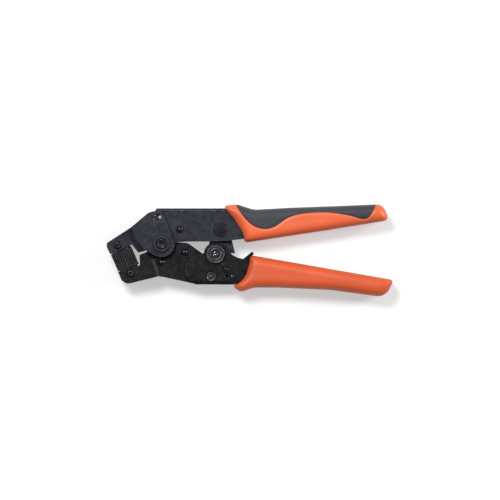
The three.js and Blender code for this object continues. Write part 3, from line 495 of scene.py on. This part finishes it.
# ---------- moulded grips ----------
def rounded_path(corners):
    """Polygon of (x, y, radius) corners, each replaced by a tangent arc. Millimetres in, metres out."""
    points = []
    count = len(corners)
    for index, (x, y, radius) in enumerate(corners):
        here = np.array((x, y), float)
        back = np.array(corners[index - 1][:2], float) - here
        ahead = np.array(corners[(index + 1) % count][:2], float) - here
        room = ARC_ROOM * min(np.hypot(*back), np.hypot(*ahead))
        back /= np.hypot(*back)
        ahead /= np.hypot(*ahead)
        half = math.acos(max(-1.0, min(1.0, float(back @ ahead)))) / 2
        reach = min(radius / math.tan(half), room)
        bend = reach * math.tan(half)
        middle = (back + ahead) / np.hypot(*(back + ahead))
        centre = here + middle * (bend / math.sin(half))
        start = here + back * reach - centre
        side = math.copysign(1.0, back[0] * ahead[1] - back[1] * ahead[0])
        turn = math.pi - 2 * half
        steps = max(2, round(turn / ARC_STEP))
        for at in range(steps + 1):
            angle = -side * turn * at / steps
            spun = (start[0] * math.cos(angle) - start[1] * math.sin(angle),
                    start[0] * math.sin(angle) + start[1] * math.cos(angle))
            points.append(centre + spun)
    return np.array(points) * MM


def even_path(path, spacing):
    """The closed path again, with points at even steps."""
    closed = np.vstack([path, path[:1]])
    lengths = np.concatenate([[0], np.cumsum(np.hypot(*np.diff(closed, axis=0).T))])
    count = int(lengths[-1] / spacing)
    at = np.linspace(0, lengths[-1], count, endpoint=False)
    return np.column_stack([np.interp(at, lengths, closed[:, side]) for side in (0, 1)])


def even_line(path, spacing):
    """The open path again, with points at even steps."""
    lengths = np.concatenate([[0], np.cumsum(np.hypot(*np.diff(path, axis=0).T))])
    at = np.linspace(0, lengths[-1], int(lengths[-1] / spacing))
    return np.column_stack([np.interp(at, lengths, path[:, side]) for side in (0, 1)])


def winds_left(path):
    """Whether the closed path runs anticlockwise."""
    return np.sum(path[:, 0] * np.roll(path[:, 1], -1) - np.roll(path[:, 0], -1) * path[:, 1]) > 0


def spread_normals(path, reach):
    """Outward normals averaged over a stretch of outline, so that insets stay clear of each other."""
    along = np.roll(path, -1, axis=0) - np.roll(path, 1, axis=0)
    normals = np.column_stack([along[:, 1], -along[:, 0]]) * (1 if winds_left(path) else -1)
    normals /= np.hypot(*normals.T)[:, None]
    spread = sum(np.roll(normals, shift, axis=0) for shift in range(-reach, reach + 1))
    return spread / np.hypot(*spread.T)[:, None]


def mesh_object(name, vertices, faces):
    mesh = bpy.data.meshes.new(name)
    mesh.from_pydata([tuple(v) for v in vertices], [], faces)
    mesh.validate()
    piece = bpy.data.objects.new(name, mesh)
    bpy.context.scene.collection.objects.link(piece)
    return piece


def prism(name, path, half):
    """Plain block of the outline about the middle plane, used as a cutter."""
    count = len(path)
    vertices = [(x, y, MID - half) for x, y in path] + [(x, y, MID + half) for x, y in path]
    faces = [tuple(reversed(range(count))), tuple(range(count, 2 * count))]
    faces += [(at, (at + 1) % count, count + (at + 1) % count, count + at) for at in range(count)]
    return outward(mesh_object(name, vertices, faces))


def outward(piece):
    """Turns every face of a closed mesh outward."""
    work = bmesh.new()
    work.from_mesh(piece.data)
    bmesh.ops.recalc_face_normals(work, faces=work.faces)
    work.to_mesh(piece.data)
    work.free()
    return piece


def distances(points, path, closed=True):
    """Distance of each point to the path."""
    starts = path if closed else path[:-1]
    ends = np.roll(path, -1, axis=0) if closed else path[1:]
    along = ends - starts
    length = np.maximum((along ** 2).sum(1), TINY_LENGTH)
    nearest = np.full(len(points), np.inf)
    for start, step, size in zip(starts, along, length):
        offset = points - start
        part = np.clip(offset @ step / size, 0, 1)
        nearest = np.minimum(nearest, np.hypot(*(offset - part[:, None] * step).T))
    return nearest


def enclosed(points, path):
    """Whether each point lies inside the closed path."""
    hits = np.zeros(len(points), int)
    for (x0, y0), (x1, y1) in zip(path, np.roll(path, -1, axis=0)):
        crosses = (y0 > points[:, 1]) != (y1 > points[:, 1])
        if y0 != y1:
            hits += crosses & (points[:, 0] < x0 + (points[:, 1] - y0) * (x1 - x0) / (y1 - y0))
    return hits % 2 == 1


def grip_points(path, seam):
    """Points for one side of a grip: its outline, rings close inside it, lines along the seam, a field."""
    normals = spread_normals(path, 2)
    kept = [path]
    for depth in GRIP_RINGS:
        ring = path - normals * depth
        kept.append(ring[enclosed(ring, path) & (distances(ring, path) > RING_KEPT * depth)])
    low, high = path.min(0), path.max(0)
    rows = np.arange(low[1], high[1], GRIP_FIELD * ROW_SHARE)
    field = np.array([(x + (row % 2) * GRIP_FIELD / 2, y) for row, y in enumerate(rows)
                      for x in np.arange(low[0], high[0], GRIP_FIELD)])
    kept.append(field[enclosed(field, path) & (distances(field, path) > GRIP_RINGS[-1] + GRIP_FIELD / 2)])
    points = np.vstack(kept)
    if seam is None:
        return points
    clear = distances(points, seam, closed=False) > SEAM_CLEAR
    clear[:len(path)] = True
    lines = [shifted(seam, side * gap * MM)[1:-1] for side in (-1, 1) for gap in SEAM_LINES]
    lines = np.vstack(lines)
    inside = enclosed(lines, path) & (distances(lines, path) > LINE_CLEAR)
    return np.vstack([points[clear], lines[inside]])


def soft_depths(points, path):
    """Depth inside the outline, eased where opposite sides meet so that no ridge forms."""
    exact = distances(points, path)
    fine = even_path(path, EASE_STEP)
    step = np.hypot(*(fine[1] - fine[0]))
    total = np.zeros(len(points))
    for x, y in fine:
        total += step / ((points[:, 0] - x) ** 2 + (points[:, 1] - y) ** 2 + TINY_AREA) ** 3
    eased = (total / EDGE_SUM) ** (-1 / 5)
    share = np.clip((exact - EASE_FROM) / EASE_OVER, 0, 1)
    share = share * share * (3 - 2 * share)
    return exact + (eased - exact) * share


def crowned_heights(points, path):
    """Height of the side above the rim at each point: a quarter-oval rounding that ends in a flat side."""
    depth = np.minimum(soft_depths(points, path) / GRIP_ROUND, 1)
    inward, upward = GRIP_CURVE
    return (GRIP_HALF - GRIP_RIM) * (1 - (1 - depth) ** inward) ** (1 / upward)


def grip_blank(name, corners, seam=None):
    """Closed grip body with crowned sides, a straight parting rim and a valley along the seam."""
    path = even_path(rounded_path(corners), OUTLINE_STEP)
    if not winds_left(path):
        path = path[::-1]
    points = grip_points(path, seam)
    count = len(path)
    loop = [(at, (at + 1) % count) for at in range(count)]
    places, _, triangles, *_ = delaunay_2d_cdt([Vector(p) for p in points], loop, [], 1, SAME_POINT)
    places = np.array([tuple(p) for p in places])
    triangles = np.array([tuple(face) for face in triangles])
    heights = GRIP_RIM + crowned_heights(places, path)
    if seam is not None:
        heights -= SEAM_DEPTH * np.exp(-(distances(places, seam, closed=False) / SEAM_REACH) ** 2)
    size = len(places)
    vertices = [(x, y, MID + h) for (x, y), h in zip(places, heights)]
    vertices += [(x, y, MID - h) for (x, y), h in zip(places, heights)]
    faces = [tuple(face) for face in triangles]
    faces += [tuple(at + size for at in reversed(face)) for face in faces]
    sides = [(face[at], face[(at + 1) % 3]) for face in triangles for at in range(3)]
    known = set(sides)
    rim = [(start, end) for start, end in sides if (end, start) not in known]
    faces += [(end, start, start + size, end + size) for start, end in rim]
    return outward(mesh_object(name, vertices, faces))


def cut(piece, cutter, operation="DIFFERENCE"):
    """Cuts the piece with the cutter and keeps the result as its mesh."""
    change = piece.modifiers.new("cut", "BOOLEAN")
    change.operation = operation
    change.object = cutter
    change.solver = "EXACT"
    settled = bpy.data.meshes.new_from_object(piece.evaluated_get(bpy.context.evaluated_depsgraph_get()))
    piece.modifiers.clear()
    piece.data = settled
    return piece


def remove(*pieces):
    for piece in pieces:
        bpy.data.objects.remove(piece)


def smooth_curve(points):
    """Catmull-Rom curve through the points. Millimetres in, metres out."""
    places = np.array([points[0], *points, points[-1]], float)
    curve = []
    for at in range(1, len(places) - 2):
        before, start, end, after = places[at - 1:at + 3]
        for part in range(CURVE_STEPS):
            t = part / CURVE_STEPS
            square = (2 * before - 5 * start + 4 * end - after) * t**2
            cube = (3 * start - before - 3 * end + after) * t**3
            curve.append(0.5 * (2 * start + (end - before) * t + square + cube))
    curve.append(places[-1])
    return np.array(curve) * MM


def shifted(path, distance):
    return path + spread_normals(path, 0) * distance


def finish_moulding(piece, material, body, *nodes):
    """Smooths the shading of a moulding up to its sharp rims, then hands it to its body."""
    piece.data.materials.clear()
    piece.data.materials.append(material)
    piece.data.shade_smooth()
    piece.data.set_sharp_from_angle(angle=SHARP_ANGLE)
    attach(piece, body)
    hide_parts(*nodes)


def make_upper_grip():
    hollow = prism("upper_hollow", even_path(rounded_path(UPPER_HOLLOW), HOLLOW_STEP), CHANNEL_HALF)
    edge = even_line(smooth_curve(INLAY_EDGE), OUTLINE_STEP)
    outside = prism("inlay_outside", shifted(edge, SEAM / 2), 2 * GRIP_HALF)
    inside = prism("inlay_inside", shifted(edge, -SEAM / 2), 2 * GRIP_HALF)
    grip = cut(cut(grip_blank("upper_grip_moulding", UPPER_GRIP, edge), hollow), outside)
    inlay = cut(cut(grip_blank("upper_grip_soft_inlay", UPPER_GRIP, edge), hollow), inside, "INTERSECT")
    remove(hollow, outside, inside)
    finish_moulding(grip, ORANGE_PLASTIC, "upper_frame", "upper_grip")
    finish_moulding(inlay, SOFT_INLAY, "upper_frame", "upper_grip_inlay")


def make_lower_grip():
    hollow = prism("lower_hollow", even_path(rounded_path(LOWER_HOLLOW), HOLLOW_STEP), CHANNEL_HALF)
    notch = prism("lever_notch", rounded_path(LEVER_NOTCH), NOTCH_HALF)
    grip = cut(cut(grip_blank("lower_grip_moulding", LOWER_GRIP), hollow), notch)
    remove(hollow, notch)
    finish_moulding(grip, DEEP_ORANGE, "lower_handle", "lower_grip")


# ---------- springs ----------
def tube(name, path, radius):
    """Round wire swept along a path of points."""
    vertices = []
    side = Vector((0, 0, 1))
    for at, point in enumerate(path):
        ahead = (path[min(at + 1, len(path) - 1)] - path[max(at - 1, 0)]).normalized()
        side = (side - ahead * side.dot(ahead)).normalized()
        other = ahead.cross(side)
        for step in range(WIRE_SIDES):
            angle = 2 * math.pi * step / WIRE_SIDES
            vertices.append(point + (side * math.cos(angle) + other * math.sin(angle)) * radius)
    last = (len(path) - 1) * WIRE_SIDES
    faces = [tuple(reversed(range(WIRE_SIDES))), tuple(range(last, last + WIRE_SIDES))]
    for ring in range(len(path) - 1):
        low = ring * WIRE_SIDES
        high = low + WIRE_SIDES
        for at in range(WIRE_SIDES):
            after = (at + 1) % WIRE_SIDES
            faces.append((low + at, low + after, high + after, high + at))
    piece = outward(mesh_object(name, vertices, faces))
    piece.data.shade_smooth()
    return piece


def tension_spring(name, start, end, coil, wire_radius, turns):
    """Close-wound coil with a straight hook leg at each end."""
    axis = (end - start).normalized()
    side = Vector((0, 0, 1))
    other = axis.cross(side)
    leg = HOOK_SHARE * (end - start).length
    first = start + axis * leg
    span = (end - start).length - 2 * leg
    points = [start, start + axis * leg * HOOK_STRAIGHT]
    steps = turns * COIL_STEPS
    half_turn = COIL_STEPS / 2
    for at in range(steps + 1):
        angle = 2 * math.pi * at / COIL_STEPS
        reach = coil * min(1.0, at / half_turn, (steps - at) / half_turn)
        across = (side * math.cos(angle) + other * math.sin(angle)) * reach
        points.append(first + axis * (span * at / steps) + across)
    points += [end - axis * leg * HOOK_STRAIGHT, end]
    return tube(name, points, wire_radius)


def make_springs():
    low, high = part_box("opening_spring")
    start = Vector((low.x, low.y + OPENING_SEAT, MID))
    end = Vector((high.x, high.y - OPENING_SEAT, MID))
    spring = tension_spring("opening_coil_spring", start, end, *OPENING_COIL)
    spring.data.materials.append(BARE_STEEL)
    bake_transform(spring)
    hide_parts("opening_spring")
    low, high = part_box("pawl_spring")
    middle = (low.y + high.y) / 2
    start = Vector((low.x, middle, MID))
    end = Vector((high.x, middle, MID))
    spring = tension_spring("pawl_coil_spring", start, end, *PAWL_COIL)
    spring.data.materials.append(BARE_STEEL)
    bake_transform(spring)
    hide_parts("pawl_spring")


# ---------- stage ----------
def make_stage():
    signs = ((-1, -1), (1, -1), (1, 1), (-1, 1))
    corners = [(x * TABLE_REACH, y * TABLE_REACH, TABLE_TOP) for x, y in signs]
    floor = mesh_object("table", corners, [(0, 1, 2, 3)])
    floor.data.materials.append(table_top())


def add_softbox(name, place_at, size, power):
    light = bpy.data.lights.new(name, "AREA")
    light.shape = "RECTANGLE"
    light.size, light.size_y = size
    light.energy = power
    lamp = bpy.data.objects.new(name, light)
    lamp.location = place_at
    lamp.rotation_euler = (Vector(LIGHT_AIM) - Vector(place_at)).to_track_quat("-Z", "Y").to_euler()
    bpy.context.scene.collection.objects.link(lamp)


def make_lights():
    add_softbox("key", *KEY_LIGHT)
    add_softbox("side", *SIDE_LIGHT)
    world = bpy.data.worlds.new("studio")
    world.use_nodes = True
    backdrop = world.node_tree.nodes["Background"]
    backdrop.inputs["Color"].default_value = (1, 1, 1, 1)
    backdrop.inputs["Strength"].default_value = WORLD_LIGHT
    bpy.context.scene.world = world
    bpy.context.scene.view_settings.view_transform = "Standard"


def make_camera():
    camera = bpy.data.cameras.new("camera")
    camera.lens = LENS
    camera.sensor_width = SENSOR
    seat = bpy.data.objects.new("camera", camera)
    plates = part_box("upper_jaw_plate_front")[1].z
    seat.location = (*VIEW_CENTRE, plates + VIEW_WIDTH * LENS / SENSOR)
    bpy.context.scene.collection.objects.link(seat)
    bpy.context.scene.camera = seat


dress(BLUED, BLUED_STEEL)
dress(["upper_handle_channel"], BLUED_STEEL, FOLD_EDGE)
dress(BLACKENED, BLACKENED_STEEL)
dress(DARK_PINS, PIN_STEEL, TURNED_EDGE)
dress(POLISHED_RIVETS, RIVET_STEEL, RIVET_EDGE)
dress(DIE_STEEL, TOOL_STEEL, DIE_EDGE)
dress(BARE, BARE_STEEL, BLADE_EDGE)
dress(SCREW, SCREW_STEEL, SCREW_EDGE)
dress(DIAL, DIAL_STEEL, TURNED_EDGE)
make_upper_grip()
make_lower_grip()
make_springs()
make_stage()
make_lights()
make_camera()
